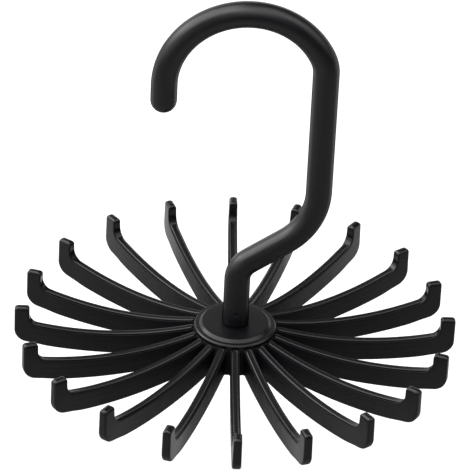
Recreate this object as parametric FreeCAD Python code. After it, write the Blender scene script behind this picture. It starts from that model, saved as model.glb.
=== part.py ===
"""Revolving tie hanger: a bent hook whose stem turns in a hub with twenty upturned arms.

Millimetres, +Z up.  The origin is the highest point inside the hook's crook, where a closet
rod bears.  The hook lies in the XZ plane with its stem on the Z axis, and the arms stand
evenly round that axis.
"""
import FreeCAD, Part
import math
import os

Vector = FreeCAD.Vector

# Hook: one round rod bent in a plane
rod_diameter = 9.7
crook_inside_width = 50.0
crook_tip_drop = 6.3
upright_inset = 1.4
shoulder_radius = 15.0
elbow_radius = 26.5
heel_radius = 9.8
diagonal_turn_deg = 55.0
hang_drop = 126.8
stem_length = 19.0
stem_foot_flare = 0.25
stem_foot_length = 9.0

# Swivel: a spigot under the stem, kept in the hub by a washer and a screw
spigot_diameter = 7.0
swivel_clearance = 0.08
thrust_gap = 0.2
washer_diameter = 12.0
washer_thickness = 1.0
washer_hole_clearance = 0.15
screw_shank_diameter = 3.5
screw_length = 13.0
screw_fit_clearance = 0.03
screw_tip_room = 1.0
screw_head_diameter = 7.0
screw_head_height = 2.0
screw_head_break = 0.9
screw_recess_width = 0.9
screw_recess_length = 3.8
screw_recess_depth = 1.1
screw_head_sink = 0.4

# Cap: the stepped disc round the stem's foot
cap_diameter = 30.8
cap_rim_thickness = 1.8
cap_rim_break = 0.5
cap_rim_width = 1.85
cap_step_height = 1.0
cap_step_run = 1.05
cap_hole_clearance = 0.3
cap_register_diameter = 18.0
cap_register_depth = 1.2
cap_register_clearance = 0.05

# Hub: the round body that carries the arms, wider at its foot and cored out from below
hub_lip = 0.1
hub_flare = 1.8
hub_height = 10.4
hub_wall = 2.2
hub_deck = 3.4
bore_boss_wall = 2.6
hub_edge_break = 0.5

# Arms: levels are drops below the cap's top, depths are measured down from the rail's top
arm_count = 20
arm_reach = 82.9
arm_root_thickness = 3.4
arm_tip_thickness = 3.6
arm_station_shares = (0.0, 0.5, 0.82)
rail_drops = (2.3, 6.3, 4.15)
arm_depths = (10.6, 8.4, 8.35)
arm_edge_break = 0.3
root_fillet = 0.3
root_fillet_room_share = 0.8

# Upturned tip of each arm
tip_rise = 4.15
tip_depth = 5.6
tip_throat_radius = 5.0
tip_heel_radius = 5.5
tip_crown_radius = 1.5

# Raised rail along each arm's top
rail_width = 2.5
rail_height = 0.7
rail_edge_break = 0.25
rail_setback = 0.3

# Every cutting solid runs past what it cuts by this much
cut_overrun = 1.0

# Corners closer than this count as the same point
same_point_gap = 0.001

# A face counts as an arm's side when its normal lies this nearly along the arm's thickness
side_normal_share = 0.99

# Levels and radii that follow from the sizes above
rod_radius = rod_diameter / 2
crook_radius = crook_inside_width / 2 + rod_radius
crook_centre_z = rod_radius - crook_radius
upright_x = crook_radius - upright_inset
cap_top_z = -hang_drop
cap_rim_z = cap_top_z - cap_step_height
hub_top_z = cap_rim_z - cap_rim_thickness
hub_bottom_z = hub_top_z - hub_height
head_bottom_z = hub_bottom_z + screw_head_sink
washer_bottom_z = head_bottom_z + screw_head_height
washer_top_z = washer_bottom_z + washer_thickness
boss_bottom_z = washer_top_z + thrust_gap
foot_z = cap_top_z + thrust_gap
hub_radius = cap_diameter / 2 + hub_lip
hub_foot_radius = hub_radius + hub_flare
bore_radius = spigot_diameter / 2 + swivel_clearance
arm_span = arm_reach - hub_radius
tip_inner_radius = arm_reach - tip_depth
tip_top_z = cap_top_z + tip_rise


def ring(outer_radius, inner_radius, bottom_z, top_z):
    """Return a round sleeve about the Z axis between two levels."""
    height = top_z - bottom_z
    sleeve = Part.makeCylinder(outer_radius, height, Vector(0, 0, bottom_z))
    hole = Part.makeCylinder(inner_radius, height, Vector(0, 0, bottom_z))
    return sleeve.cut(hole)


def turned(profile):
    """Revolve a closed outline of (radius, z) points about the Z axis."""
    points = [Vector(radius, 0, z) for radius, z in profile]
    face = Part.Face(Part.makePolygon(points + points[:1]))
    return face.revolve(Vector(0, 0, 0), Vector(0, 0, 1), 360)


def cross_edges(solid, x, z):
    """Return the edges of a side-on prism that run along Y through one corner of its outline."""
    def at_corner(vertex):
        return math.hypot(vertex.X - x, vertex.Z - z) < same_point_gap

    return [edge for edge in solid.Edges if all(at_corner(vertex) for vertex in edge.Vertexes)]


def circular_edges(solid, radius, z):
    """Return the circles of a turned solid that have one radius and lie at one level."""
    return [edge for edge in solid.Edges
            if isinstance(edge.Curve, Part.Circle)
            and abs(edge.Curve.Radius - radius) < same_point_gap
            and abs(edge.Curve.Center.z - z) < same_point_gap]


def bend(centre_x, centre_z, radius, start_deg, end_deg):
    """Return one arc of the hook's centre line in the XZ plane."""
    def point(angle_deg):
        angle = math.radians(angle_deg)
        return Vector(centre_x + radius * math.cos(angle), 0, centre_z + radius * math.sin(angle))
    return Part.Arc(point(start_deg), point((start_deg + end_deg) / 2), point(end_deg)).toShape()


def make_hook():
    """Bend the rod from its domed tip over the crook, down the upright and into the stem.

    The shoulder's centre lies where its arc is tangent to both the crook and the upright.  The
    elbow and the heel turn the rod out and back by the same angle, with a straight diagonal
    between them that makes up the upright's distance from the stem.
    """
    shoulder_x = upright_x - shoulder_radius
    shoulder_rise = math.sqrt((crook_radius - shoulder_radius) ** 2 - shoulder_x ** 2)
    shoulder_deg = math.degrees(math.atan2(shoulder_rise, shoulder_x))
    shoulder_z = crook_centre_z + shoulder_rise

    turn = math.radians(diagonal_turn_deg)
    bend_radii = elbow_radius + heel_radius
    diagonal = (upright_x - bend_radii * (1 - math.cos(turn))) / math.sin(turn)
    heel_z = foot_z + stem_length
    elbow_z = heel_z + bend_radii * math.sin(turn) + diagonal * math.cos(turn)

    tip = Vector(-crook_radius, 0, crook_centre_z - crook_tip_drop)
    crook = bend(0, crook_centre_z, crook_radius, 180, shoulder_deg)
    shoulder = bend(shoulder_x, shoulder_z, shoulder_radius, shoulder_deg, 0)
    elbow = bend(upright_x - elbow_radius, elbow_z, elbow_radius, 0, -diagonal_turn_deg)
    heel = bend(heel_radius, heel_z, heel_radius, 180 - diagonal_turn_deg, 180)
    foot = Vector(0, 0, foot_z)
    path = Part.Wire([
        Part.makeLine(tip, crook.Vertexes[0].Point),
        crook,
        shoulder,
        Part.makeLine(shoulder.Vertexes[-1].Point, elbow.Vertexes[0].Point),
        elbow,
        Part.makeLine(elbow.Vertexes[-1].Point, heel.Vertexes[0].Point),
        heel,
        Part.makeLine(heel.Vertexes[-1].Point, foot),
    ])
    section = Part.Wire(Part.makeCircle(rod_radius, tip, Vector(0, 0, 1)))
    rod = path.makePipeShell([section], True, False)
    dome = Part.makeSphere(rod_radius, tip, Vector(0, 0, 1), -90, 0, 360)
    foot_taper = Part.makeCone(rod_radius + stem_foot_flare, rod_radius, stem_foot_length, foot)

    spigot_length = foot_z - washer_top_z
    spigot = Part.makeCylinder(spigot_diameter / 2, spigot_length, Vector(0, 0, washer_top_z))
    pilot_radius = screw_shank_diameter / 2 + screw_fit_clearance
    pilot_depth = screw_length - washer_thickness + screw_tip_room
    pilot = Part.makeCylinder(pilot_radius, pilot_depth, Vector(0, 0, washer_top_z))
    return rod.fuse([dome, foot_taper, spigot]).removeSplitter().cut(pilot)


def make_thrust_washer():
    """Cut the flat washer that the hub hangs on, seated on the spigot's end."""
    hole_radius = screw_shank_diameter / 2 + washer_hole_clearance
    return ring(washer_diameter / 2, hole_radius, washer_bottom_z, washer_top_z)


def make_retaining_screw():
    """Make the pan-head screw that clamps the washer to the spigot."""
    head_radius = screw_head_diameter / 2
    head = Part.makeCylinder(head_radius, screw_head_height, Vector(0, 0, head_bottom_z))
    head = head.makeChamfer(screw_head_break, circular_edges(head, head_radius, head_bottom_z))
    shank = Part.makeCylinder(screw_shank_diameter / 2, screw_length, Vector(0, 0, washer_bottom_z))
    screw = head.fuse(shank).removeSplitter()
    corner = Vector(-screw_recess_length / 2, -screw_recess_width / 2, head_bottom_z - cut_overrun)
    slot_height = screw_recess_depth + cut_overrun
    slot = Part.makeBox(screw_recess_length, screw_recess_width, slot_height, corner)
    crossed_slot = slot.copy()
    crossed_slot.rotate(Vector(0, 0, 0), Vector(0, 0, 1), 90)
    return screw.cut([slot, crossed_slot])


def make_hub_cap():
    """Turn the stepped disc: rim, sloped step, plateau, and the register that centres it in the hub."""
    hole_radius = spigot_diameter / 2 + cap_hole_clearance
    rim_radius = cap_diameter / 2
    plateau_radius = rim_radius - cap_rim_width - cap_step_run
    register_radius = cap_register_diameter / 2
    cap = turned([
        (hole_radius, hub_top_z - cap_register_depth),
        (register_radius, hub_top_z - cap_register_depth),
        (register_radius, hub_top_z),
        (rim_radius, hub_top_z),
        (rim_radius, cap_rim_z),
        (plateau_radius + cap_step_run, cap_rim_z),
        (plateau_radius, cap_top_z),
        (hole_radius, cap_top_z),
    ])
    return cap.makeChamfer(cap_rim_break, circular_edges(cap, rim_radius, cap_rim_z))


def wall_radius_at(z):
    """Return the radius of the hub's sloped outer wall at one level, carried on past its foot."""
    return hub_radius + hub_flare * (hub_top_z - z) / hub_height


def make_hub():
    """Turn the hub: sloped outer wall, deck with the cap's recess, and a boss with the swivel bore."""
    boss_radius = bore_radius + bore_boss_wall
    recess_radius = cap_register_diameter / 2 + cap_register_clearance
    recess_z = hub_top_z - cap_register_depth - cap_register_clearance
    deck_z = hub_top_z - hub_deck
    foot_inner_radius = hub_foot_radius - hub_wall
    hub = turned([
        (bore_radius, boss_bottom_z),
        (boss_radius, boss_bottom_z),
        (boss_radius, deck_z),
        (wall_radius_at(deck_z) - hub_wall, deck_z),
        (foot_inner_radius, hub_bottom_z),
        (hub_foot_radius, hub_bottom_z),
        (hub_radius, hub_top_z),
        (recess_radius, hub_top_z),
        (recess_radius, recess_z),
        (bore_radius, recess_z),
    ])
    return hub.makeChamfer(hub_edge_break, circular_edges(hub, foot_inner_radius, hub_bottom_z))


def arm_circle(drops):
    """Return the circle through three levels at the arm's stations, drawn side-on."""
    stations = [Vector(hub_radius + share * arm_span, 0, cap_top_z - drop)
                for share, drop in zip(arm_station_shares, drops)]
    return Part.Circle(*stations)


def level_at(circle, radius):
    """Return a large circle's level at one distance from the axis, on the side that faces the arm."""
    reach = math.sqrt(circle.Radius ** 2 - (radius - circle.Center.x) ** 2)
    return circle.Center.z - math.copysign(reach, circle.Center.z - cap_top_z)


def arc_between(circle, start_radius, end_radius):
    """Return the stretch of a large circle between two distances from the axis."""
    points = [Vector(radius, 0, level_at(circle, radius))
              for radius in (start_radius, (start_radius + end_radius) / 2, end_radius)]
    return Part.Arc(*points).toShape()


def side_prism(edges, width):
    """Extrude a side-on outline evenly to both sides of the XZ plane."""
    face = Part.Face(Part.Wire(edges))
    face.translate(Vector(0, -width / 2, 0))
    return face.extrude(Vector(0, width, 0))


def closed_side(top_arc, bottom_arc, outer_points):
    """Join a top and a bottom arc by straight lines, through the points given at the outer end."""
    top_start, top_end = top_arc.Vertexes[0].Point, top_arc.Vertexes[-1].Point
    bottom_start, bottom_end = bottom_arc.Vertexes[0].Point, bottom_arc.Vertexes[-1].Point
    corners = [top_end] + outer_points + [bottom_end]
    lines = [Part.makeLine(start, end) for start, end in zip(corners, corners[1:])]
    return [top_arc] + lines + [bottom_arc, Part.makeLine(bottom_start, top_start)]


def plan_prism(root_half, tip_half, fillet, bottom_z, height):
    """Extrude the arm's plan: tapering sides that flare into the hub's foot with small fillets."""
    flare_half = root_half + fillet
    wall_x = math.sqrt(hub_foot_radius ** 2 - flare_half ** 2)
    inner_x = hub_radius - 2 * cut_overrun
    outer_x = arm_reach + cut_overrun
    corner_share = 1 - math.sqrt(0.5)
    middle = Vector(wall_x + fillet * corner_share, root_half + fillet * corner_share, bottom_z)
    flare = [Vector(wall_x, flare_half, bottom_z), middle, Vector(wall_x + fillet, root_half, bottom_z)]

    def mirrored(point):
        return Vector(point.x, -point.y, point.z)

    upper = [flare[2], Vector(outer_x, tip_half, bottom_z)]
    inner = [Vector(inner_x, flare_half, bottom_z), flare[0]]
    edges = [
        Part.makeLine(*inner),
        Part.Arc(*flare).toShape(),
        Part.makeLine(*upper),
        Part.makeLine(upper[1], mirrored(upper[1])),
        Part.makeLine(mirrored(upper[1]), mirrored(upper[0])),
        Part.Arc(*[mirrored(point) for point in reversed(flare)]).toShape(),
        Part.makeLine(mirrored(inner[1]), mirrored(inner[0])),
        Part.makeLine(mirrored(inner[0]), inner[0]),
    ]
    return Part.Face(Part.Wire(edges)).extrude(Vector(0, 0, height))


def side_face_edges(web):
    """Return the long edges round the web's two flat sides, but not where they meet the hub."""
    sides = [face for face in web.Faces
             if isinstance(face.Surface, Part.Plane)
             and abs(face.normalAt(0, 0).y) > side_normal_share]
    outer = [edge for face in sides for edge in face.Edges]
    root_x = hub_foot_radius + root_fillet + cut_overrun
    return [edge for edge in outer if max(vertex.X for vertex in edge.Vertexes) > root_x]


def make_rail(rail_top, rail_foot):
    """Make the raised rail: a narrow strip with a round end at the hub, sunk into the tip's throat."""
    start_radius = hub_radius + rail_setback
    inner_radius = hub_radius - cut_overrun
    edges = closed_side(arc_between(rail_top, inner_radius, tip_inner_radius),
                        arc_between(rail_foot, inner_radius, tip_inner_radius), [])
    strip = side_prism(edges, rail_width)
    top_edges = [edge for edge in strip.Edges
                 if isinstance(edge.Curve, Part.Circle)
                 and abs(edge.Curve.Center.z - rail_top.Center.z) < same_point_gap]
    strip = strip.makeChamfer(rail_edge_break, top_edges)
    end_x = start_radius + rail_width / 2
    low_z = strip.BoundBox.ZMin - cut_overrun
    high_z = strip.BoundBox.ZMax + cut_overrun
    round_end = Part.makeCylinder(rail_width / 2, high_z - low_z, Vector(end_x, 0, low_z))
    run = Part.makeBox(tip_inner_radius - end_x + cut_overrun, rail_width, high_z - low_z,
                       Vector(end_x, -rail_width / 2, low_z))
    return strip.common(round_end.fuse(run).removeSplitter())


def make_arm():
    """Make the arm that points along +X: a bowed web with an upturned tip and a raised rail.

    The web is what a side-on outline and a plan outline have in common, cut back to the hub's
    wall, so the arm's root fits the hub face to face.
    """
    rail_top = arm_circle(rail_drops)
    web_top = arm_circle([drop + rail_height for drop in rail_drops])
    rail_foot = arm_circle([drop + 2 * rail_height for drop in rail_drops])
    web_bottom = arm_circle([drop + depth for drop, depth in zip(rail_drops, arm_depths)])
    inner_radius = hub_radius - 2 * cut_overrun
    tip_corners = [Vector(tip_inner_radius, 0, tip_top_z), Vector(arm_reach, 0, tip_top_z)]
    edges = closed_side(arc_between(web_top, inner_radius, tip_inner_radius),
                        arc_between(web_bottom, inner_radius, arm_reach), tip_corners)
    side = side_prism(edges, 2 * arm_tip_thickness)
    roundings = (
        (tip_throat_radius, tip_inner_radius, level_at(web_top, tip_inner_radius)),
        (tip_heel_radius, arm_reach, level_at(web_bottom, arm_reach)),
        (tip_crown_radius, tip_inner_radius, tip_top_z),
        (tip_crown_radius, arm_reach, tip_top_z),
    )
    for radius, x, z in roundings:
        side = side.makeFillet(radius, cross_edges(side, x, z))

    half_gap = hub_radius * math.sin(math.pi / arm_count) - arm_root_thickness / 2
    fillet = min(root_fillet, root_fillet_room_share * half_gap)
    box = side.BoundBox
    plan = plan_prism(arm_root_thickness / 2, arm_tip_thickness / 2, fillet,
                      box.ZMin - cut_overrun, box.ZLength + 2 * cut_overrun)
    web = side.common(plan)
    low_z, high_z = box.ZMin - cut_overrun, box.ZMax + cut_overrun
    hub_space = turned([
        (0, low_z),
        (wall_radius_at(low_z), low_z),
        (hub_radius, hub_top_z),
        (hub_radius, high_z),
        (0, high_z),
    ])
    web = web.cut(hub_space)
    web = web.makeChamfer(arm_edge_break, side_face_edges(web))
    rail = make_rail(rail_top, rail_foot).cut(hub_space)
    return web.fuse(rail).removeSplitter()


def main():
    """Build every piece and write it to its own file."""
    nodes = {
        "hook": make_hook(),
        "thrust_washer": make_thrust_washer(),
        "retaining_screw": make_retaining_screw(),
        "hub": make_hub(),
        "hub_cap": make_hub_cap(),
    }
    first_arm = make_arm()
    for index in range(arm_count):
        arm = first_arm.copy()
        arm.rotate(Vector(0, 0, 0), Vector(0, 0, 1), index * 360 / arm_count)
        nodes[f"arm_{index + 1:02d}"] = arm
    os.makedirs("parts", exist_ok=True)
    for name, shape in nodes.items():
        shape.exportStep(f"parts/{name}.step")
        print(name, len(shape.Solids), "solid", round(shape.Volume, 1), "mm3, valid", shape.isValid())


main()
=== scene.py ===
"""Looks of a black moulded tie hanger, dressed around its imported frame.

A bent hook hangs on a closet rod.  Its stem swivels in a round hub that carries a wheel of bowed,
upturned arms, each with a raised rail along its top.  Lengths are in metres, +Z is up, and the
origin is the highest point inside the hook's crook.
"""
from __future__ import annotations

import logging
import math
from dataclasses import dataclass, field
from enum import Enum
from typing import ClassVar

import bpy
import numpy as np
from mathutils import Matrix

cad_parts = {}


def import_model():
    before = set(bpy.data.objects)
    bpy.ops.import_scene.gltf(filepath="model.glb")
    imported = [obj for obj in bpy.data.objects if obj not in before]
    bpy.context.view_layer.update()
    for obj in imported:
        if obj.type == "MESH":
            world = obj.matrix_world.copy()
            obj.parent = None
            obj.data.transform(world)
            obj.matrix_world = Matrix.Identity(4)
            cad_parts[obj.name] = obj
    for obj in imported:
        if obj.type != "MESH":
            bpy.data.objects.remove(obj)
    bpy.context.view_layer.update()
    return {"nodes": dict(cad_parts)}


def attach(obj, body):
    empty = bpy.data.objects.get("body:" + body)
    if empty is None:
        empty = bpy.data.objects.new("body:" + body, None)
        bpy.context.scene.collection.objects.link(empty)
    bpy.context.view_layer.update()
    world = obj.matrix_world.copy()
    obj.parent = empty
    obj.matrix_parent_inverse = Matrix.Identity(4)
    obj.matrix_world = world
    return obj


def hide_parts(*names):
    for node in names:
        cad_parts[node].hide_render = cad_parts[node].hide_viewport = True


LOG = logging.getLogger("tie_hanger")
MM = 0.001
POLISH_LAYER = "rubbed"
SHARP_ANGLE = math.radians(42.0)
Array = np.ndarray
Colour = tuple[float, float, float]
Pair = tuple[float, float]
Triple = tuple[float, float, float]
Socket = bpy.types.NodeSocket
Wires = dict[str | int, Socket]


class Body(Enum):
    """Rigid bodies of the frame that pieces ride on."""

    HOOK = "hook_body"
    SPIDER = "spider"


def smooth_step(low: float, high: float, value: Array) -> Array:
    """Return values eased from 0 at low to 1 at high with a cubic that is level at both ends."""
    share = np.clip((value - low) / (high - low), 0.0, 1.0)
    return share * share * (3.0 - 2.0 * share)


def quarter_gap(share: Array) -> Array:
    """Return how far a quarter circle of radius 1 is below its top, at shares of the way there."""
    return 1.0 - np.sqrt(1.0 - (1.0 - np.clip(share, 0.0, 1.0)) ** 2)


def grid_quads(rows: int, columns: int, wrap_rows: bool = False) -> Array:
    """List the quads of a grid whose columns close on themselves.

    Args:
        rows: Number of grid rows.
        columns: Number of points in each row; the last is joined to the first.
        wrap_rows: Whether the last row is joined to the first.

    Returns:
        Vertex numbers, four to a quad.
    """
    row = np.arange(rows if wrap_rows else rows - 1)[:, None]
    column = np.arange(columns)[None, :]
    next_row = (row + 1) % rows
    next_column = (column + 1) % columns
    corners = (row * columns + column, row * columns + next_column,
               next_row * columns + next_column, next_row * columns + column)
    return np.stack(np.broadcast_arrays(*corners), axis=-1).reshape(-1, 4)


def placed(name: str, data: bpy.types.ID, axes: list[Array] | None = None) -> bpy.types.Object:
    """Put an object into the scene.

    Args:
        name: Name of the object.
        data: Its mesh, lamp or camera.
        axes: Its own x, y and z axis and its place; without them it stays at the origin.

    Returns:
        The new object.
    """
    holder = bpy.data.objects.new(name, data)
    if axes is not None:
        pose = np.eye(4)
        pose[:3] = np.stack(axes, axis=1)
        holder.matrix_world = Matrix(pose.tolist())
    bpy.context.scene.collection.objects.link(holder)
    return holder


@dataclass
class Skin:
    """A closed surface: points, quads, triangles at its poles, and each point's polish, 0 to 1."""

    points: Array
    quads: Array
    triangles: Array
    rubbed: Array

    @classmethod
    def from_rows(cls, rows: Array, rubbed: Array,
                  poles: tuple[Array, Array] | None = None) -> Skin:
        """Close a stack of rings into a skin.

        Quads join neighbouring rings.  With poles, a fan of triangles closes each end ring onto one
        point; without poles, the last ring is joined to the first.

        Args:
            rows: Ring points, as rings by points by 3.
            rubbed: Polish of each ring point, as rings by points.
            poles: The two closing points, before the first ring and after the last.

        Returns:
            The closed skin, facing outwards.
        """
        count, size, _ = rows.shape
        points = rows.reshape(-1, 3)
        triangles = np.zeros((0, 3), int)
        polish = rubbed.reshape(-1)
        if poles is not None:
            start, end = len(points), len(points) + 1
            points = np.vstack([points, poles[0], poles[1]])
            around = np.arange(size)
            following = (around + 1) % size
            last = (count - 1) * size
            first_fan = np.stack([np.full(size, start), following, around], axis=1)
            last_fan = np.stack([np.full(size, end), last + around, last + following], axis=1)
            triangles = np.vstack([first_fan, last_fan])
            polish = np.append(polish, [polish[:size].mean(), polish[-size:].mean()])
        skin = cls(points, grid_quads(count, size, poles is None), triangles, polish)
        return skin.facing_outwards()

    def facing_outwards(self) -> Skin:
        """Turn the faces outwards.

        The triple products of the faces add up to six times the volume, and the sum is negative
        where they point inwards.

        Returns:
            This skin, or a copy with every face turned round.
        """
        quads = self.quads
        halves = np.vstack([quads[:, [0, 1, 2]], quads[:, [0, 2, 3]], self.triangles])
        a, b, c = (self.points[halves[:, k]] for k in range(3))
        if np.einsum("ij,ij->i", a, np.cross(b, c)).sum() >= 0.0:
            return self
        return Skin(self.points, quads[:, ::-1], self.triangles[:, ::-1], self.rubbed)

    def turned(self, angle: float) -> Skin:
        """Return a copy turned about the Z axis.

        Args:
            angle: Turn in radians, anticlockwise seen from above.

        Returns:
            The turned copy.
        """
        cos, sin = math.cos(angle), math.sin(angle)
        turn = np.array([[cos, sin, 0.0], [-sin, cos, 0.0], [0.0, 0.0, 1.0]])
        return Skin(self.points @ turn, self.quads, self.triangles, self.rubbed)

    def to_object(self, name: str) -> bpy.types.Object:
        """Put the skin into a mesh object at the origin, smooth but for edges past SHARP_ANGLE.

        Args:
            name: Name of the piece.

        Returns:
            The new object.
        """
        mesh = bpy.data.meshes.new(name)
        mesh.from_pydata(self.points, [], self.quads.tolist() + self.triangles.tolist())
        mesh.polygons.foreach_set("use_smooth", np.ones(len(mesh.polygons), bool))
        layer = mesh.attributes.new(POLISH_LAYER, "FLOAT", "POINT")
        layer.data.foreach_set("value", self.rubbed.astype(np.float32))
        mesh.set_sharp_from_angle(angle=SHARP_ANGLE)
        mesh.validate()
        return placed(name, mesh)


def rounded_outline(corners: Array, radii: Array, steps: int) -> Array:
    """Round the corners of a closed outline.

    At each corner an arc replaces the point: it is tangent to both sides, its centre lies on the
    corner's bisector, and its angle is what the outline turns there.

    Args:
        corners: Corner points of the outline, as n by 2.
        radii: Rounding radius of each corner; 0 keeps it sharp.
        steps: Points on each rounded corner.

    Returns:
        The points of the rounded outline.
    """
    runs = []
    neighbours = np.roll(corners, 1, 0), np.roll(corners, -1, 0)
    for corner, before, after, radius in zip(corners, *neighbours, radii):
        if radius <= 0.0:
            runs.append(corner[None, :])
            continue
        back = (before - corner) / np.linalg.norm(before - corner)
        ahead = (after - corner) / np.linalg.norm(after - corner)
        half = math.acos(float(np.clip(back @ ahead, -1.0, 1.0))) / 2.0
        bisector = (back + ahead) / np.linalg.norm(back + ahead)
        centre = corner + bisector * radius / math.sin(half)
        sweep = np.linspace(-(math.pi / 2 - half), math.pi / 2 - half, steps)[:, None]
        across = ahead - (ahead @ bisector) * bisector
        across /= np.linalg.norm(across)
        runs.append(centre + radius * (-bisector * np.cos(sweep) + across * np.sin(sweep)))
    return np.vstack(runs)


def revolved(outline: Array, worn: Array, segments: int = 160) -> Skin:
    """Turn a closed outline about the Z axis.

    A point (r, z) of the outline becomes (r cos a, r sin a, z) for evenly spaced angles a.

    Args:
        outline: Closed outline of (radius, z) points that stays clear of the axis.
        worn: Polish of each outline point.
        segments: Steps round the axis.

    Returns:
        The ring-shaped skin.
    """
    angle = np.linspace(0.0, 2.0 * math.pi, segments, endpoint=False)
    radius, level = outline[:, 0, None], outline[:, 1, None]
    parts = np.broadcast_arrays(radius * np.cos(angle), radius * np.sin(angle), level)
    return Skin.from_rows(np.stack(parts, axis=-1), np.repeat(worn[:, None], segments, 1))


@dataclass(frozen=True)
class NodeKit:
    """Shorthand for wiring one node tree."""

    tree: bpy.types.NodeTree

    def wire(self, node: bpy.types.Node, sources: Wires) -> bpy.types.Node:
        """Link outputs to a node's inputs.

        Args:
            node: The node to feed.
            sources: Outputs by the name or number of the input.

        Returns:
            The same node.
        """
        for key, source in sources.items():
            self.tree.links.new(source, node.inputs[key])
        return node

    def add(self, kind: str, sources: Wires | None = None,
            **values: float | str | tuple) -> bpy.types.Node:
        """Add a node, set its properties or, by name, its input sockets, and wire it.

        Args:
            kind: Node type.
            sources: Outputs that feed its inputs.
            **values: Settings; a name that is no property is an input, with _ read as a space.

        Returns:
            The node.
        """
        node = self.tree.nodes.new(kind)
        for name, value in values.items():
            if hasattr(node, name):
                setattr(node, name, value)
            else:
                node.inputs[name.replace("_", " ")].default_value = value
        return self.wire(node, sources or {})

    def noise(self, place: Socket, scale: float, detail: float, roughness: float) -> Socket:
        """Return a noise with so many cells to the metre."""
        settings = {"Scale": scale, "Detail": detail, "Roughness": roughness}
        return self.add("ShaderNodeTexNoise", {"Vector": place}, **settings).outputs["Fac"]

    def ranged(self, value: Socket, low: float, high: float,
               start: float = 0.0, end: float = 1.0) -> Socket:
        """Return a value mapped from start and end to low and high."""
        limits = {"From_Min": start, "From_Max": end, "To_Min": low, "To_Max": high}
        return self.add("ShaderNodeMapRange", {"Value": value}, **limits).outputs["Result"]

    def tinted(self, value: Socket, first: Colour, last: Colour,
               span: Pair = (0.0, 1.0)) -> Socket:
        """Colour a value with a ramp.

        Args:
            value: What picks the colour.
            first: Colour where the span starts.
            last: Colour where the span ends.
            span: Values between which one colour runs into the other.

        Returns:
            The colour.
        """
        ramp = self.add("ShaderNodeValToRGB", {"Fac": value})
        for element, colour, position in zip(ramp.color_ramp.elements, (first, last), span):
            element.position, element.color = position, (*colour, 1.0)
        return ramp.outputs["Color"]

    def relief(self, height: Socket, strength: float, depth: float) -> Socket:
        """Return the normal of a surface with a fine relief."""
        bump = self.add("ShaderNodeBump", {"Height": height}, Strength=strength, Distance=depth)
        return bump.outputs["Normal"]


def new_material(name: str) -> tuple[bpy.types.Material, NodeKit, bpy.types.Node]:
    """Start a node material.

    Args:
        name: Name of the material.

    Returns:
        The material, its node kit and its principled shader.
    """
    material = bpy.data.materials.new(name)
    material.use_nodes = True
    return material, NodeKit(material.node_tree), material.node_tree.nodes["Principled BSDF"]


@dataclass(frozen=True)
class MouldedPlastic:
    """Black moulded plastic: a fine eroded grain, faint flow clouds and polish where cloth rubs.

    The flow clouds run from deep to light.  Roughness is the least and the greatest of the moulded
    skin; sheen is the specular level of moulded and of polished skin.  Towards edge-on, over
    rim_fade, that level falls to rim_share of itself, less so where the polish is past rim_polish.
    Grain counts cells to the metre.  Clouds (of colour) and scuffs (of gloss) hold their cells to
    the metre and their least and greatest value.
    """

    name: str
    slot: str
    deep: Colour
    light: Colour
    roughness: Pair
    rubbed_roughness: float
    grain: float
    grain_depth: float
    ior: float
    sheen: Pair = (0.5, 0.5)
    rim_share: float = 1.0
    rim_fade: Pair = (0.42, 0.87)
    rim_polish: float = 0.3
    clouds: Triple = (46.0, 0.32, 0.70)
    scuffs: Triple = (190.0, 0.3, 0.7)

    def material(self) -> bpy.types.Material:
        """Build the node material, which reads object coordinates and the polish of each vertex.

        Returns:
            The material.
        """
        material, kit, shader = new_material(self.name)
        place = kit.add("ShaderNodeTexCoord").outputs["Object"]
        clouds = kit.noise(place, self.clouds[0], 3.0, 0.55)
        grain = kit.noise(place, self.grain, 2.0, 0.6)
        scuffs = kit.noise(place, self.scuffs[0], 5.0, 0.7)
        polish = kit.add("ShaderNodeAttribute", attribute_name=POLISH_LAYER).outputs["Fac"]
        edge_on = kit.add("ShaderNodeLayerWeight", Blend=0.5).outputs["Facing"]

        skin = kit.ranged(scuffs, *self.roughness, *self.scuffs[1:])
        worn = kit.add("ShaderNodeMix", {"Factor": polish, "A": skin}, data_type="FLOAT",
                       B=self.rubbed_roughness)
        kept = kit.ranged(polish, self.rim_share, 1.0, self.rim_polish)
        fade = kit.add("ShaderNodeMapRange", {"Value": edge_on, "To Max": kept},
                       From_Min=self.rim_fade[0], From_Max=self.rim_fade[1], To_Min=1.0)
        gleam = kit.ranged(polish, *self.sheen)
        level = kit.add("ShaderNodeMath", {0: gleam, 1: fade.outputs["Result"]},
                        operation="MULTIPLY")
        kit.wire(shader, {
            "Base Color": kit.tinted(clouds, self.deep, self.light, self.clouds[1:]),
            "Roughness": worn.outputs["Result"],
            "Specular IOR Level": level.outputs["Value"],
            "Normal": kit.relief(grain, 0.5, self.grain_depth),
        })
        shader.inputs["IOR"].default_value = self.ior
        shader.inputs["Specular IOR Level"].default_value = self.sheen[0]
        return material


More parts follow.
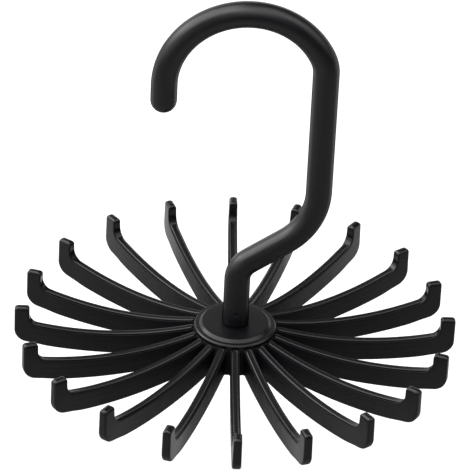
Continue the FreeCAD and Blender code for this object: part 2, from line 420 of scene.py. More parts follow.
@dataclass(frozen=True)
class PlatedSteel:
    """Zinc-plated steel with turning rings and dull patches, both counted to the metre."""

    name: str
    slot: str
    bright: Colour
    dull: Colour
    roughness: Pair
    patches: float = 420.0
    rings: float = 900.0
    ring_depth: float = 0.01 * MM

    def material(self) -> bpy.types.Material:
        """Build the node material, whose rings run round the Z axis.

        Returns:
            The material.
        """
        material, kit, shader = new_material(self.name)
        place = kit.add("ShaderNodeTexCoord").outputs["Object"]
        patches = kit.noise(place, self.patches, 4.0, 0.6)
        rings = kit.add("ShaderNodeTexWave", {"Vector": place}, wave_type="RINGS",
                        rings_direction="Z", Scale=self.rings, Distortion=1.5, Detail=2.0)
        kit.wire(shader, {
            "Base Color": kit.tinted(patches, self.dull, self.bright),
            "Roughness": kit.ranged(patches, *self.roughness),
            "Normal": kit.relief(rings.outputs["Fac"], 0.3, self.ring_depth),
        })
        shader.inputs["Metallic"].default_value = 1.0
        return material


HOOK_FINISH = MouldedPlastic(
    "hook_satin_black", "hook_plastic", deep=(0.002, 0.002, 0.0034), light=(0.0036, 0.0036, 0.0058),
    roughness=(0.31, 0.39), rubbed_roughness=0.34, grain=3200.0, grain_depth=0.012 * MM, ior=1.52,
    sheen=(0.5, 0.7), rim_share=0.0, rim_fade=(0.30, 0.76))
ARM_FINISH = MouldedPlastic(
    "arm_satin_black", "arm_plastic", deep=(0.002, 0.002, 0.0031), light=(0.0036, 0.0036, 0.0054),
    roughness=(0.62, 0.74), rubbed_roughness=0.26, grain=2600.0, grain_depth=0.014 * MM, ior=1.46,
    sheen=(0.27, 0.60), rim_share=0.0)
CAP_FINISH = MouldedPlastic(
    "cap_satin_black", "cap_plastic", deep=(0.002, 0.002, 0.003), light=(0.004, 0.004, 0.0052),
    roughness=(0.36, 0.46), rubbed_roughness=0.30, grain=3000.0, grain_depth=0.014 * MM, ior=1.47,
    sheen=(0.36, 0.57))
WASHER_FINISH = PlatedSteel(
    "washer_zinc", "washer_steel", bright=(0.70, 0.71, 0.72), dull=(0.52, 0.52, 0.53),
    roughness=(0.28, 0.46))
SCREW_FINISH = PlatedSteel(
    "screw_zinc", "screw_steel", bright=(0.68, 0.69, 0.71), dull=(0.48, 0.49, 0.51),
    roughness=(0.24, 0.42))


def dress(piece: bpy.types.Object, finish: MouldedPlastic, body: Body, *nodes: str) -> None:
    """Give a new piece its finish and its body, and hide the frame nodes that it stands for.

    Args:
        piece: The object to dress.
        finish: What it is made of.
        body: The body that it moves with.
        *nodes: Frame nodes that it replaces.
    """
    piece.data.materials.append(bpy.data.materials.get(finish.name) or finish.material())
    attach(piece, body.value)
    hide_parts(*nodes)
    LOG.info("%s: %d vertices, %d faces, rides on %s", piece.name, len(piece.data.vertices),
             len(piece.data.polygons), body.value)


class Moulding:
    """A piece with one skin, made in place of one frame node."""

    piece_name: ClassVar[str]
    node: ClassVar[str]
    finish: ClassVar[MouldedPlastic]
    body: ClassVar[Body]

    def skin(self) -> Skin:
        """Work out the piece's closed skin."""
        raise NotImplementedError

    def build(self) -> None:
        """Make the piece and dress it."""
        piece = self.skin().to_object(self.piece_name)
        dress(piece, self.finish, self.body, self.node)


@dataclass
class Route:
    """A flat line in the XZ plane: places (x, z) along it and the unit headings of travel there."""

    places: Array
    headings: Array

    @classmethod
    def straight(cls, start: Array, end: Array, spacing: float) -> Route:
        """Sample a straight run: start plus a share of the way to the end.

        Args:
            start: First point.
            end: Last point.
            spacing: Greatest distance between points.

        Returns:
            The run.
        """
        length = float(np.linalg.norm(end - start))
        share = np.linspace(0.0, 1.0, max(2, math.ceil(length / spacing) + 1))[:, None]
        heading = (end - start) / length
        return cls(start + share * (end - start), np.repeat(heading[None, :], len(share), 0))

    @classmethod
    def arc(cls, centre: Array, radius: float, start: float, end: float, spacing: float) -> Route:
        """Sample an arc: centre plus radius times (cos a, sin a), heading across the radius.

        Args:
            centre: Centre of the arc.
            radius: Its radius.
            start: Angle of its first point, in radians.
            end: Angle of its last point.
            spacing: Greatest distance between points.

        Returns:
            The run.
        """
        count = max(3, math.ceil(abs(end - start) * radius / spacing) + 1)
        angle = np.linspace(start, end, count)
        way = math.copysign(1.0, end - start)
        places = centre + radius * np.stack([np.cos(angle), np.sin(angle)], axis=1)
        return cls(places, way * np.stack([-np.sin(angle), np.cos(angle)], axis=1))

    @classmethod
    def chained(cls, runs: list[Route]) -> Route:
        """Join runs end to end, each without its first point, which the run before it has.

        Args:
            runs: The runs in order.

        Returns:
            The whole line.
        """
        places = [runs[0].places] + [run.places[1:] for run in runs[1:]]
        headings = [runs[0].headings] + [run.headings[1:] for run in runs[1:]]
        return cls(np.vstack(places), np.vstack(headings))


@dataclass
class Hook(Moulding):
    """The bent hook: crook, shoulder, upright, elbow, diagonal, heel and stem, with its spigot."""

    piece_name = "bent_hook"
    node = "hook"
    finish = HOOK_FINISH
    body = Body.HOOK

    rod_radius: float = 4.85 * MM
    crook_radius: float = 29.85 * MM
    crook_tip_drop: float = 6.3 * MM
    upright_x: float = 28.45 * MM
    shoulder_radius: float = 15.0 * MM
    elbow_radius: float = 26.5 * MM
    heel_radius: float = 9.8 * MM
    diagonal_turn: float = math.radians(55.0)
    stem_length: float = 19.0 * MM
    foot_z: float = -126.6 * MM
    foot_flare: float = 0.25 * MM
    foot_flare_length: float = 9.0 * MM
    foot_round: float = 0.3 * MM
    spigot_radius: float = 3.5 * MM
    spigot_end_z: float = -136.6 * MM
    pilot_radius: float = 1.78 * MM
    pilot_depth: float = 13.0 * MM
    gate_height: float = 5.6 * MM
    gate_half_width: float = 1.25 * MM
    gate_half_height: float = 0.8 * MM
    gate_depth: float = 0.16 * MM
    gate_edge: float = 0.45
    seam_height: float = 0.035 * MM
    seam_half_width: float = 0.16 * MM
    crook_polish: float = 0.3
    top_polish: float = 0.8
    dome_span: Pair = (math.radians(86.0), math.radians(6.0))
    dome_rings: int = 14
    segments: int = 112
    spacing: float = 0.8 * MM
    stem_spacing: float = 0.3 * MM

    def route(self) -> Route:
        """Lay out the rod's centre line from the tip's dome centre to the stem's foot.

        Returns:
            The chained straight runs and arcs.
        """
        crook_z = self.rod_radius - self.crook_radius
        shoulder_x = self.upright_x - self.shoulder_radius
        shoulder_rise = math.sqrt((self.crook_radius - self.shoulder_radius) ** 2 - shoulder_x ** 2)
        shoulder_angle = math.atan2(shoulder_rise, shoulder_x)
        turn = self.diagonal_turn
        bends = self.elbow_radius + self.heel_radius
        diagonal = (self.upright_x - bends * (1.0 - math.cos(turn))) / math.sin(turn)
        heel_z = self.foot_z + self.stem_length
        elbow_z = heel_z + bends * math.sin(turn) + diagonal * math.cos(turn)

        gap = self.spacing
        crook, shoulder, elbow, heel = (
            Route.arc(np.array([x, z]), radius, start, end, gap) for x, z, radius, start, end in (
                (0.0, crook_z, self.crook_radius, math.pi, shoulder_angle),
                (shoulder_x, crook_z + shoulder_rise, self.shoulder_radius, shoulder_angle, 0.0),
                (self.upright_x - self.elbow_radius, elbow_z, self.elbow_radius, 0.0, -turn),
                (self.heel_radius, heel_z, self.heel_radius, math.pi - turn, math.pi)))
        tip = np.array([-self.crook_radius, crook_z - self.crook_tip_drop])
        foot = np.array([0.0, self.foot_z + self.foot_round])
        return Route.chained([
            Route.straight(tip, crook.places[0], gap), crook, shoulder,
            Route.straight(shoulder.places[-1], elbow.places[0], gap), elbow,
            Route.straight(elbow.places[-1], heel.places[0], gap), heel,
            Route.straight(heel.places[-1], foot, self.stem_spacing),
        ])

    def stations(self) -> tuple[Array, Array, Array]:
        """List the rings' centres, headings and radii from the dome over the rod to the pilot hole.

        The dome's rings follow a quarter circle: they lie r sin a behind the dome's centre and have
        radius r cos a.  The stem's radius grows evenly over the flare.  Below the foot the rings
        follow the foot's rounded edge, the spigot's wall and end, and the pilot hole's wall.

        Returns:
            Centres (x, z), headings and radii of the rings.
        """
        route = self.route()
        angle = np.linspace(*self.dome_span, self.dome_rings)[:, None]
        dome_places = route.places[0] - route.headings[0] * self.rod_radius * np.sin(angle)
        dome_radii = self.rod_radius * np.cos(angle[:, 0])
        level = route.places[:, 1]
        on_stem = np.abs(route.places[:, 0]) < self.stem_spacing
        flare = np.clip(1.0 - (level - self.foot_z) / self.foot_flare_length, 0.0, 1.0)
        radii = self.rod_radius + self.foot_flare * flare * on_stem

        foot_radius = radii[-1]
        edge = np.linspace(0.0, math.pi / 2, 6)[1:]
        pilot_end = self.spigot_end_z + self.pilot_depth
        lower = np.vstack([
            np.stack([foot_radius - self.foot_round * (1.0 - np.cos(edge)),
                      self.foot_z + self.foot_round * (1.0 - np.sin(edge))], axis=1),
            [[self.spigot_radius, self.foot_z], [self.spigot_radius, self.spigot_end_z],
             [self.pilot_radius, self.spigot_end_z], [self.pilot_radius, pilot_end]],
        ])
        on_axis = np.stack([0.0 * lower[:, 1], lower[:, 1]], axis=1)
        places = np.vstack([dome_places, route.places, on_axis])
        headings = np.vstack([np.repeat(route.headings[:1], len(angle), 0), route.headings,
                              np.repeat(route.headings[-1:], len(lower), 0)])
        return places, headings, np.concatenate([dome_radii, radii, lower[:, 0]])

    def skin(self) -> Skin:
        """Carry a circle along the centre line.

        A ring point is its centre plus radius times (cos b across + sin b Y), where across is the
        heading turned by a quarter in the XZ plane.  The radius takes a low bell-shaped ridge where
        the mould's halves met, at b = 0 and b = pi, and an oval dimple on the stem's front.

        Returns:
            The closed skin of the hook.
        """
        places, headings, radii = self.stations()
        turn = np.linspace(0.0, 2.0 * math.pi, self.segments, endpoint=False)[None, :]
        across = np.stack([-headings[:, 1], np.zeros(len(headings)), headings[:, 0]], axis=1)
        centres = np.stack([places[:, 0], np.zeros(len(places)), places[:, 1]], axis=1)

        off_seam = np.arcsin(np.abs(np.sin(turn))) * self.rod_radius
        on_rod = (radii > 0.96 * self.rod_radius)[:, None]
        ridge = self.seam_height * np.exp(-(off_seam / self.seam_half_width) ** 2) * on_rod
        rise = (places[:, 1, None] - self.foot_z - self.gate_height) / self.gate_half_height
        front = 1.5 * math.pi
        aside = (turn - front) * self.rod_radius / self.gate_half_width
        below_bend = (np.abs(places[:, 0]) < self.stem_spacing)[:, None]
        inside = smooth_step(0.0, self.gate_edge, 1.0 - np.hypot(rise, aside))
        dimple = self.gate_depth * inside * below_bend * on_rod
        radius = radii[:, None] - self.seam_height * on_rod + ridge - dimple
        rows = (centres[:, None, :] + (radius * np.cos(turn))[..., None] * across[:, None, :]
                + (radius * np.sin(turn))[..., None] * np.array([0.0, 1.0, 0.0]))

        back = np.array([headings[0, 0], 0.0, headings[0, 1]]) * self.rod_radius
        tip = centres[self.dome_rings] - back
        upward = across[:, None, 2] * np.cos(turn)
        in_crook = places[:, 1, None] > -self.crook_radius
        worn = self.crook_polish * smooth_step(-0.2, 0.5, -upward) * in_crook
        worn = worn + self.top_polish * smooth_step(0.25, 0.8, upward)
        return Skin.from_rows(rows, worn, (tip, centres[-1]))


@dataclass
class HubCap(Moulding):
    """The stepped disc round the stem's foot."""

    piece_name = "hub_cap_disc"
    node = "hub_cap"
    finish = CAP_FINISH
    body = Body.SPIDER

    hole_radius: float = 3.8 * MM
    register_radius: float = 9.0 * MM
    register_z: float = -130.8 * MM
    seat_z: float = -129.6 * MM
    rim_radius: float = 15.4 * MM
    rim_z: float = -127.8 * MM
    rim_break: float = 0.5 * MM
    step_foot_radius: float = 13.55 * MM
    plateau_radius: float = 12.5 * MM
    top_z: float = -126.8 * MM

    def skin(self) -> Skin:
        """Turn the cap's outline: register, rim, sloped step, plateau and hole, with soft edges.

        Returns:
            The closed skin of the cap.
        """
        outline = np.array([
            (self.hole_radius, self.register_z), (self.register_radius, self.register_z),
            (self.register_radius, self.seat_z), (self.rim_radius, self.seat_z),
            (self.rim_radius, self.rim_z - self.rim_break),
            (self.rim_radius - self.rim_break, self.rim_z), (self.step_foot_radius, self.rim_z),
            (self.plateau_radius, self.top_z), (self.hole_radius, self.top_z),
        ])
        radii = np.array([0.2, 0.2, 0.0, 0.2, 0.12, 0.12, 0.12, 0.2, 0.25]) * MM
        steps, on_plateau = 8, 10
        corner_wear = (0.0, 0.0, 0.0, 0.0, 1.0, 0.9, 0.9, 1.0, 0.0)
        worn = np.repeat(corner_wear, np.where(radii > 0.0, steps, 1))
        worn[-on_plateau:] = 0.0
        return revolved(rounded_outline(outline, radii, steps), worn)


@dataclass
class Hub(Moulding):
    """The round body that carries the arms: sloped wall, deck with the cap's recess, boss."""

    piece_name = "hub_body"
    node = "hub"
    finish = ARM_FINISH
    body = Body.SPIDER

    bore_radius: float = 3.58 * MM
    boss_radius: float = 6.18 * MM
    boss_z: float = -136.4 * MM
    deck_z: float = -133.0 * MM
    deck_edge_radius: float = 13.888 * MM
    foot_inner_radius: float = 15.1 * MM
    foot_radius: float = 17.3 * MM
    top_radius: float = 15.5 * MM
    bottom_z: float = -140.0 * MM
    top_z: float = -129.6 * MM
    recess_radius: float = 9.05 * MM
    recess_z: float = -130.85 * MM

    def skin(self) -> Skin:
        """Turn the hub's outline, with soft edges and fillets in the cored-out underside.

        Returns:
            The closed skin of the hub.
        """
        outline = np.array([
            (self.bore_radius, self.boss_z), (self.boss_radius, self.boss_z),
            (self.boss_radius, self.deck_z), (self.deck_edge_radius, self.deck_z),
            (self.foot_inner_radius, self.bottom_z), (self.foot_radius, self.bottom_z),
            (self.top_radius, self.top_z), (self.recess_radius, self.top_z),
            (self.recess_radius, self.recess_z), (self.bore_radius, self.recess_z),
        ])
        radii = np.array([0.2, 0.4, 0.8, 0.8, 0.5, 0.4, 0.2, 0.1, 0.1, 0.2]) * MM
        outline = rounded_outline(outline, radii, steps=7)
        return revolved(outline, np.zeros(len(outline)))


@dataclass
class Bow:
    """A large circle in the XZ plane that an arm's upper or lower outline follows."""

    centre: Array
    radius: float

    @classmethod
    def through(cls, places: Array) -> Bow:
        """Fit the circle through three points.

        The centre is equally far from all three, which gives two linear equations for it.

        Args:
            places: Three points (x, z).

        Returns:
            The circle.
        """
        first = places[0]
        chords = places[1:] - first
        centre = first + np.linalg.solve(2.0 * chords, (chords ** 2).sum(1))
        return cls(centre, float(np.linalg.norm(centre - first)))

    def level(self, x: Array) -> Array:
        """Return the circle's lower level at distances from the axis."""
        return self.centre[1] - np.sqrt(self.radius ** 2 - (x - self.centre[0]) ** 2)

    def fillet(self, face_x: float, radius: float) -> tuple[Array, float]:
        """Find the round corner between this circle and an upright face outside it.

        The corner's centre lies its radius in from the face and from the circle, so its distance
        from the circle's centre is the difference of the two radii.

        Args:
            face_x: Distance of the upright face from the axis.
            radius: Radius of the corner.

        Returns:
            The corner's centre, and the angle of its first point, where it leaves the circle.
        """
        x = face_x - radius
        z = self.centre[1] - math.sqrt((self.radius - radius) ** 2 - (x - self.centre[0]) ** 2)
        centre = np.array([x, z])
        away = centre - self.centre
        return centre, math.atan2(away[1], away[0])

    def turned_up(self, x: Array, face_x: float, radius: float, top_z: float,
                  bend: Array, climb: Array) -> Array:
        """Follow the circle, turn up through the round corner and rise along the upright face.

        Args:
            x: Distances from the axis along the circle.
            face_x: Distance of the upright face from the axis.
            radius: Radius of the corner.
            top_z: Level at which the face ends.
            bend: Shares of the way round the corner.
            climb: Shares of the way up the face.

        Returns:
            Points (x, z) of the outline.
        """
        centre, angle = self.fillet(face_x, radius)
        turn = angle * (1.0 - bend)
        return np.vstack([
            np.stack([x, self.level(x)], axis=1),
            centre + radius * np.hstack([np.cos(turn), np.sin(turn)]),
            np.hstack([0.0 * climb + face_x, centre[1] + climb * (top_z - centre[1])]),
        ])


@dataclass
class Arm:
    """One bowed arm with a raised rail and an upturned tip, drawn along +X.

    The blends into the tip and the heel start and end so many tip depths short of the reach.  Each
    part of the hands' polish has a gain and the shares of the reach between which it rises.
    """

    hub_radius: float = 15.5 * MM
    hub_foot_radius: float = 17.3 * MM
    root_sink: float = 0.25 * MM
    reach: float = 82.9 * MM
    cap_top_z: float = -126.8 * MM
    station_shares: Triple = (0.0, 0.5, 0.82)
    rail_drops: Triple = (2.3 * MM, 6.3 * MM, 4.15 * MM)
    depths: Triple = (10.6 * MM, 8.4 * MM, 8.35 * MM)
    root_half: float = 1.7 * MM
    tip_half: float = 1.75 * MM
    tip_taper: float = 0.15 * MM
    root_fillet: float = 0.3 * MM
    edge_round: float = 0.14 * MM
    tip_edge_round: float = 0.45 * MM
    heel_edge_round: float = 0.8 * MM
    tip_rise: float = 4.15 * MM
    tip_depth: float = 5.6 * MM
    throat_radius: float = 5.0 * MM
    heel_radius: float = 5.5 * MM
    crown_round: float = 1.5 * MM
    crown_edge_round: float = 1.35 * MM
    rail_half: float = 1.25 * MM
    rail_height: float = 0.7 * MM
    rail_round: float = 0.35 * MM
    rail_hollow: float = 0.14 * MM
    bevel_width: float = 0.36 * MM
    bevel_height: float = 0.36 * MM
    bevel_flatness: float = 0.6
    rail_setback: float = 0.3 * MM
    rail_ledge: float = 0.02 * MM
    round_limit: float = 0.7
    draft: float = 0.004
    parting_share: float = 0.56
    parting_height: float = 0.03 * MM
    parting_half_width: float = 0.10 * MM
    tip_blend: Pair = (2.2, 1.0)
    heel_blend: Pair = (2.4, 1.2)
    least_polish: float = 0.05
    hand_polish: tuple[Triple, ...] = ((0.40, 0.25, 0.6), (0.55, 0.58, 0.97))
    root_points: int = 6
    nose_points: int = 12
    bow_points: int = 42
    bend_points: int = 17
    rail_bend_points: int = 8
    climb_points: int = 7
    crown_points: int = 14

    def outlines(self) -> tuple[Array, Array, Array]:
        """Draw the arm's upper and lower outline, point for point, from the root to the tip's top.

        Both follow a bow, turn up through a round corner and rise along the tip's faces.  The
        shares of the way along each of these three stretches are the same on both.

        Returns:
            Upper points, lower points, and the rail's height above the upper outline at each.
        """
        stations = self.hub_radius + np.array(self.station_shares) * (self.reach - self.hub_radius)
        drops = np.array(self.rail_drops)
        upper_bow, lower_bow = (
            Bow.through(np.stack([stations, self.cap_top_z - drops - below], axis=1))
            for below in (self.rail_height, np.array(self.depths)))
        inner_face = self.reach - self.tip_depth
        top_z = self.cap_top_z + self.tip_rise - self.crown_round

        rail_start = self.hub_radius + self.rail_setback
        nose = self.rail_half * (1.0 - np.cos(np.linspace(0.0, math.pi / 2, self.nose_points)))
        throat_centre, throat_angle = upper_bow.fillet(inner_face, self.throat_radius)
        heel_centre, heel_angle = lower_bow.fillet(self.reach, self.heel_radius)
        throat_x = throat_centre[0] + self.throat_radius * math.cos(throat_angle)
        heel_x = heel_centre[0] + self.heel_radius * math.cos(heel_angle)
        upper_root = self.hub_radius - self.root_sink
        lower_root = self.hub_foot_radius - self.root_sink
        before = np.linspace(upper_root, rail_start, self.root_points)[:-1]
        along = np.linspace(rail_start + self.rail_half, throat_x, self.bow_points)[1:]
        upper_x = np.concatenate([before, [rail_start - 0.001 * MM], rail_start + nose, along])
        share = (upper_x - upper_root) / (throat_x - upper_root)
        lower_x = lower_root + share * (heel_x - lower_root)

        bend = np.linspace(0.0, 1.0, self.bend_points + 1)[1:, None]
        climb = np.linspace(0.0, 1.0, self.climb_points + 1)[1:, None]
        upper = upper_bow.turned_up(upper_x, inner_face, self.throat_radius, top_z, bend, climb)
        lower = lower_bow.turned_up(lower_x, self.reach, self.heel_radius, top_z, bend, climb)
        climbed = upper[:, 1] - upper_bow.level(upper[:, 0])
        lift = np.clip(self.rail_height - climbed, 0.0, self.rail_height)
        lift[len(upper_x) + self.rail_bend_points:] = 0.0
        nose_drop = self.rail_round * quarter_gap((upper[:, 0] - rail_start) / self.rail_round)
        lift = np.where(upper[:, 0] < rail_start, 0.0, np.maximum(lift - nose_drop, 0.0))
        return upper, lower, lift

    def half_widths(self, upper: Array, lower: Array) -> tuple[Array, Array]:
        """Work out the web's and the rail's half widths at each station.

        The web tapers evenly from root to tip and flares into the hub's wall along a quarter
        circle.  The rail's nose is a half circle seen from above.

        Args:
            upper: Points of the upper outline.
            lower: Points of the lower outline.

        Returns:
            Half widths of the web and of the rail.
        """
        x = (upper[:, 0] + lower[:, 0]) / 2.0
        taper = np.clip((x - self.hub_radius) / (self.reach - self.hub_radius), 0.0, 1.0)
        web = self.root_half + taper * (self.tip_half - self.root_half)
        mid_radius = (self.hub_radius + self.hub_foot_radius) / 2.0
        wall_x = math.sqrt(mid_radius ** 2 - (self.root_half + self.root_fillet) ** 2)
        web = web + self.root_fillet * quarter_gap((x - wall_x) / self.root_fillet)
        into_nose = (upper[:, 0] - self.hub_radius - self.rail_setback) / self.rail_half
        rail = self.rail_half * np.sqrt(1.0 - (1.0 - np.clip(into_nose, 0.02, 1.0)) ** 2)
        return web, rail

    def sections(self, web: Array, depth: Array, heel: Array, edge: Array, rail: Array, lift: Array,
                 parting: Array, handled: Array, rubbed: Array) -> tuple[Array, Array, Array]:
        """Draw the right half of every cross-section, from the bottom's to the rail's middle.

        The outline runs along the bottom, round the lower edge, up the side past the mould's
        parting line, round the upper edge, in to the rail's foot, up its wall and over its bevelled
        shoulder, which lies between a quarter ellipse and its chord, to the top, which has sunk
        along a shallow curve of the fourth degree.  The sides lean in by the draft away from the
        parting line, which is a low bell-shaped ridge.

        Args:
            web: Half width of the web at each station.
            depth: Depth of the web.
            heel: Rounding of the web's lower edges.
            edge: Rounding of its upper edges.
            rail: Half width of the rail.
            lift: Height of the rail.
            parting: Strength of the parting line, from 0 to 1.
            handled: How far hands have polished the web, from 0 to 1.
            rubbed: How far ties have polished the top, from 0 to 1.

        Returns:
            Offsets across, heights above the lower outline, and polish, as stations by points.
        """
        web, depth, heel, edge, rail = (part[:, None] for part in (web, depth, heel, edge, rail))
        lift, parting, handled, rubbed = (
            part[:, None] for part in (lift, parting, handled, rubbed))
        quarter = np.linspace(0.0, math.pi / 2, 6)[None, :]
        line = self.parting_share * depth
        near = self.parting_half_width
        low = heel + np.linspace(0.0, 1.0, 5)[None, 1:] * (line - 2.0 * near - heel)
        ridge = line + near * np.array([[-1.0, 0.0, 1.0]])
        high_end = depth - edge
        high_room = high_end - line - 2.0 * near
        high = line + 2.0 * near + np.linspace(0.0, 1.0, 5)[None, :-1] * high_room
        side = np.hstack([low, ridge, high])
        crest = parting * self.parting_height

        def lean(height: Array) -> Array:
            """Return the side's offset at heights above the lower outline."""
            off_line = height - line
            return web - self.draft * np.abs(off_line) + crest * np.exp(-(off_line / near) ** 2)

        bottom_edge_y = lean(heel) - heel + heel * np.sin(quarter)
        bottom_edge_z = heel - heel * np.cos(quarter)
        top_edge_y = lean(high_end) - edge + edge * np.cos(quarter)
        top_edge_z = high_end + edge * np.sin(quarter)
        bevel_width = np.minimum(self.bevel_width, 0.9 * rail)
        bevel_height = np.minimum(self.bevel_height, 0.9 * lift)
        share, flat = 2.0 * quarter / math.pi, self.bevel_flatness
        cut_in = 1.0 - (1.0 - flat) * np.cos(quarter) - flat * (1.0 - share)
        cut_down = 1.0 - (1.0 - flat) * np.sin(quarter) - flat * share
        rail_edge_y = rail - bevel_width * cut_in
        rail_edge_z = depth + lift - bevel_height * cut_down
        zero = 0.0 * web
        inward = np.array([[0.92, 0.80, 0.62, 0.40, 0.20, 0.0]])
        sunk = depth + lift - self.rail_hollow * lift / self.rail_height * (1.0 - inward ** 4)
        across = np.hstack([zero, 0.5 * bottom_edge_y[:, :1], bottom_edge_y, lean(side), top_edge_y,
                            rail, rail_edge_y, inward * rail_edge_y[:, -1:]])
        height = np.hstack([zero, zero, bottom_edge_z, side, top_edge_z, depth, rail_edge_z, sunk])
        run = (2, 6, side.shape[1], 6, 1, 7, 1, 1, 3)
        rail_wear = np.repeat((0.0, 0.0, 0.0, 0.0, 0.0, 1.0, 0.9, 0.35, 0.0), run)
        web_wear = np.repeat((0.7, 0.75, 0.75, 0.5, 0.2, 0.0, 0.0, 0.0, 0.0), run)
        top_wear = np.repeat((0.0, 0.0, 0.0, 0.5, 1.0, 1.0, 1.0, 1.0, 1.0), run)
        return across, height, np.maximum(rail_wear + handled * web_wear, rubbed * top_wear)

    def skin(self) -> Skin:
        """Rule cross-sections between the two outlines and crown the tip.

        A point is the lower outline's point, plus its height towards the upper outline's point,
        plus its offset across.  Over the crown the sections draw in along the arm by r (1 - cos a)
        while they rise by r sin a, narrow along a small quarter circle near the top, and close flat
        onto the middle.

        Returns:
            The closed skin of the arm that points along +X.
        """
        upper, lower, lift = self.outlines()
        crown = np.linspace(0.0, math.pi / 2, self.crown_points + 1)[1:]
        rise = self.crown_round * np.sin(crown)
        inset = np.pad(self.crown_round * (1.0 - np.cos(crown)), (len(upper), 0))
        below_top = (self.crown_round - rise) / self.crown_edge_round
        narrow = np.pad(self.crown_edge_round * quarter_gap(below_top), (len(upper), 0))
        lifted = np.stack([0.0 * rise, rise], axis=1)
        upper = np.vstack([upper, upper[-1] + lifted])
        lower = np.vstack([lower, lower[-1] + lifted])
        lift = np.pad(lift, (0, len(crown)))

        web, rail = self.half_widths(upper, lower)
        span = upper - lower
        length = np.linalg.norm(span, axis=1)
        heading = span / length[:, None]
        lower = lower + heading * inset[:, None]
        tip_from, tip_to, heel_from, heel_to = (
            self.reach - share * self.tip_depth for share in (*self.tip_blend, *self.heel_blend))
        near_tip = smooth_step(tip_from, tip_to, upper[:, 0])
        climbed = smooth_step(
            self.cap_top_z - self.rail_drops[2], self.cap_top_z + self.tip_rise, upper[:, 1])
        web = web - narrow - self.tip_taper * climbed * near_tip
        edge = self.edge_round + near_tip * (self.tip_edge_round - self.edge_round)
        near_heel = smooth_step(heel_from, heel_to, lower[:, 0])
        heel = self.edge_round + near_heel * (self.heel_edge_round - self.edge_round)
        edge, heel = (np.minimum(part, self.round_limit * web) for part in (edge, heel))
        rail = np.minimum(rail, web - edge - self.rail_ledge)
        handled = self.least_polish + sum(
            gain * smooth_step(low * self.reach, high * self.reach, upper[:, 0])
            for gain, low, high in self.hand_polish)
        on_bow = len(upper) - self.bend_points - self.climb_points - self.crown_points
        last_eighth = np.clip(np.arange(len(upper)) / on_bow * 8.0 - 7.0, 0.0, 1.0)
        across, height, polish = self.sections(
            web, length - 2.0 * inset, heel, edge, rail, lift, 1.0 - near_tip, handled, last_eighth)
        crown_wear = smooth_step(0.0, 0.1 * MM, narrow)
        polish = np.maximum(polish, crown_wear[:, None])

        across = np.hstack([across, -across[:, -2:0:-1]])
        height = np.hstack([height, height[:, -2:0:-1]])
        polish = np.hstack([polish, polish[:, -2:0:-1]])
        flat = lower[:, None, :] + heading[:, None, :] * height[..., None]
        rows = np.stack([flat[..., 0], across, flat[..., 1]], axis=-1)
        return Skin.from_rows(rows, polish, (rows[0].mean(0), rows[-1].mean(0)))


@dataclass
class ArmWheel:
    """The ring of equal arms round the hub."""

    count: int = 20
    arm: Arm = field(default_factory=Arm)

    def build(self) -> None:
        """Make one piece for each arm in place of its frame node."""
        first = self.arm.skin()
        for index in range(self.count):
            turned = first.turned(index * 2.0 * math.pi / self.count)
            piece = turned.to_object(f"tie_arm_{index + 1:02d}")
            dress(piece, ARM_FINISH, Body.SPIDER, f"arm_{index + 1:02d}")


@dataclass
class SwivelHardware:
    """The washer and the screw under the hub, whose solids are kept and given their plating."""

    finishes: dict[str, PlatedSteel] = field(
        default_factory=lambda: {"thrust_washer": WASHER_FINISH, "retaining_screw": SCREW_FINISH})

    def build(self, nodes: dict[str, bpy.types.Object]) -> None:
        """Assign the plating to the frame's own pieces.

        Args:
            nodes: The frame's objects by node name.
        """
        for name, finish in self.finishes.items():
            slots = nodes[name].data.materials
            slots.clear()
            slots.append(finish.material())
            LOG.info("%s: keeps its solid, plated as %s", name, finish.name)


@dataclass
class PhotoCamera:
    """A long lens that looks down on the hanger from the front."""

    azimuth: float = math.radians(-2.0834)
    elevation: float = math.radians(32.3633)
    roll: float = math.radians(2.7906)
    distance: float = 1362.03 * MM
    aim: Triple = (-1.658 * MM, 0.0, -88.508 * MM)
    focal_pixels: float = 3676.66
    image_pixels: float = 470.0
    sensor_width: float = 36.0

    def build(self) -> None:
        """Place the camera on the sphere round its aim and make it the scene's camera."""
        cos_e, sin_e = math.cos(self.elevation), math.sin(self.elevation)
        back = np.array([math.sin(self.azimuth) * cos_e, -math.cos(self.azimuth) * cos_e, sin_e])
        level = np.array([math.cos(self.azimuth), math.sin(self.azimuth), 0.0])
        upright = np.cross(back, level)
        right = math.cos(self.roll) * level + math.sin(self.roll) * upright
        up = math.cos(self.roll) * upright - math.sin(self.roll) * level
        eye = np.array(self.aim) + back * self.distance
        lens = bpy.data.cameras.new("photo_camera")
        lens.sensor_width = self.sensor_width
        lens.lens = self.sensor_width * self.focal_pixels / self.image_pixels
        lens.clip_end = 20.0
        bpy.context.scene.camera = placed("photo_camera", lens, [right, up, back, eye])


@dataclass(frozen=True)
class Softbox:
    """One rectangular studio lamp: its place, its width and height, and its power in watts."""

    name: str
    place: Triple
    size: Pair
    power: float

    def build(self, aim: Triple) -> None:
        """Set up the lamp so that it faces a point.

        Args:
            aim: The point that it lights.
        """
        lamp = bpy.data.lights.new(self.name, "AREA")
        lamp.shape = "RECTANGLE"
        lamp.size, lamp.size_y = self.size
        lamp.energy = self.power
        back = np.array(self.place) - np.array(aim)
        back /= np.linalg.norm(back)
        side = np.cross([0.0, 0.0, 1.0], back)
        side /= np.linalg.norm(side)
        placed(self.name, lamp, [side, np.cross(back, side), back, np.array(self.place)])


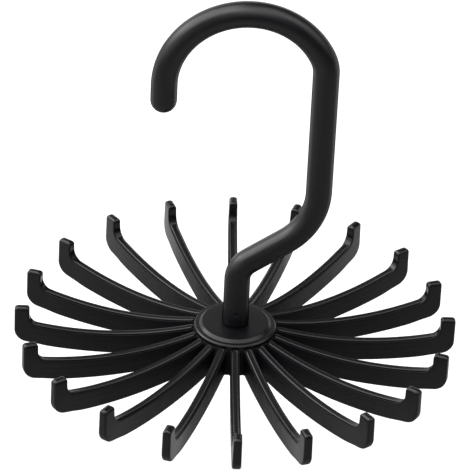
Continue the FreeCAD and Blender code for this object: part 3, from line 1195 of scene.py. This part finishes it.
@dataclass
class Studio:
    """A pale floor under the hanging object, soft lamps and a white surround."""

    floor_z: float = -420.0 * MM
    floor_half: float = 4.0
    floor_colour: Colour = (0.43, 0.43, 0.43)
    # Painted glow of the floor for camera, glossy and see-through rays, rising along Y from faint
    # in front to full behind.
    floor_glow: Pair = (0.05, 1.0)
    glow_rise: Pair = (0.07, 0.39)
    ambient: Colour = (0.08, 0.08, 0.08)
    ceiling: float = 0.08
    ceiling_side: Triple = (0.35, -0.30, 0.90)
    ceiling_rise: Pair = (-0.05, 0.32)
    aim: Triple = (0.0, 0.0, -0.09)
    lamps: tuple[Softbox, ...] = (
        Softbox("key_softbox", (-0.65, 0.0, 0.80), (1.20, 1.30), 12.8),
        Softbox("fill_softbox", (0.25, -0.32, 0.96), (1.4, 0.9), 5.4),
        Softbox("rim_softbox", (-1.08, 0.30, 0.34), (0.7, 0.5), 1.9),
        Softbox("front_softbox", (0.0, -1.35, 0.76), (1.4, 0.8), 1.4),
        Softbox("side_softbox", (1.05, -0.22, 0.55), (0.9, 0.8), 2.2),
    )

    @staticmethod
    def seen_directly(kit: NodeKit) -> Socket:
        """Pick out the rays that show a background: camera, mirror-like and see-through ones.

        Args:
            kit: The node tree that asks.

        Returns:
            1 for those rays and 0 for others.
        """
        rays = kit.add("ShaderNodeLightPath").outputs
        seen = rays["Is Camera Ray"]
        for other in ("Is Glossy Ray", "Is Transmission Ray"):
            either = kit.add("ShaderNodeMath", {0: seen, 1: rays[other]}, operation="MAXIMUM")
            seen = either.outputs["Value"]
        return seen

    def build_floor(self) -> None:
        """Lay the floor, which keeps shadows; its painted glow is dim in front and white behind."""
        half, level = self.floor_half, self.floor_z
        mesh = bpy.data.meshes.new("floor")
        corners = [(x * half, y * half, level) for x, y in ((-1, -1), (1, -1), (1, 1), (-1, 1))]
        mesh.from_pydata(corners, [], [(0, 1, 2, 3)])
        material = bpy.data.materials.new("pale_floor")
        material.use_nodes = True
        kit = NodeKit(material.node_tree)
        kit.tree.nodes.clear()
        place = kit.add("ShaderNodeTexCoord").outputs["Object"]
        along = kit.add("ShaderNodeSeparateXYZ", {"Vector": place}).outputs["Y"]
        # Painted glow: the floor glows to camera, glossy and see-through rays, faint in front of
        # the hanger and full behind it.
        reach = kit.ranged(along, *self.floor_glow, *self.glow_rise)
        strength = kit.add("ShaderNodeMath", {0: self.seen_directly(kit), 1: reach},
                           operation="MULTIPLY")
        matte = kit.add("ShaderNodeBsdfDiffuse", Color=(*self.floor_colour, 1.0))
        glow = kit.add("ShaderNodeEmission", {"Strength": strength.outputs["Value"]})
        both = kit.add("ShaderNodeAddShader",
                       {0: matte.outputs["BSDF"], 1: glow.outputs["Emission"]})
        kit.add("ShaderNodeOutputMaterial", {"Surface": both.outputs["Shader"]})
        mesh.materials.append(material)
        floor = placed("floor", mesh)

    def build_world(self) -> None:
        """Make the surround: a white horizon under a dark ceiling, and soft grey to other rays."""
        world = bpy.data.worlds.new("studio")
        world.use_nodes = True
        kit = NodeKit(world.node_tree)
        kit.tree.nodes.clear()
        heading = kit.add("ShaderNodeTexCoord").outputs["Generated"]
        height = kit.add("ShaderNodeVectorMath", {0: heading}, operation="DOT_PRODUCT")
        height.inputs[1].default_value = self.ceiling_side
        fade = kit.ranged(height.outputs["Value"], 1.0, self.ceiling, *self.ceiling_rise)
        dim = kit.add("ShaderNodeBackground", Color=(*self.ambient, 1.0))
        white = kit.add("ShaderNodeBackground", {"Strength": fade}, Color=(1.0, 1.0, 1.0, 1.0))
        choice = kit.add("ShaderNodeMixShader", {
            "Fac": self.seen_directly(kit), 1: dim.outputs["Background"],
            2: white.outputs["Background"]})
        kit.add("ShaderNodeOutputWorld", {"Surface": choice.outputs["Shader"]})
        bpy.context.scene.world = world

    def build(self) -> None:
        """Set up the floor, the surround, the lamps and the plain view transform."""
        self.build_floor()
        self.build_world()
        for lamp in self.lamps:
            lamp.build(self.aim)
        bpy.context.scene.view_settings.view_transform = "Standard"


def main() -> None:
    """Load the frame, build and dress every piece, and set up the studio."""
    logging.basicConfig(level=logging.INFO, format="%(name)s: %(message)s")
    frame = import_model()
    Hook().build()
    HubCap().build()
    Hub().build()
    ArmWheel().build()
    SwivelHardware().build(frame["nodes"])
    PhotoCamera().build()
    Studio().build()


if __name__ == "__main__":
    main()
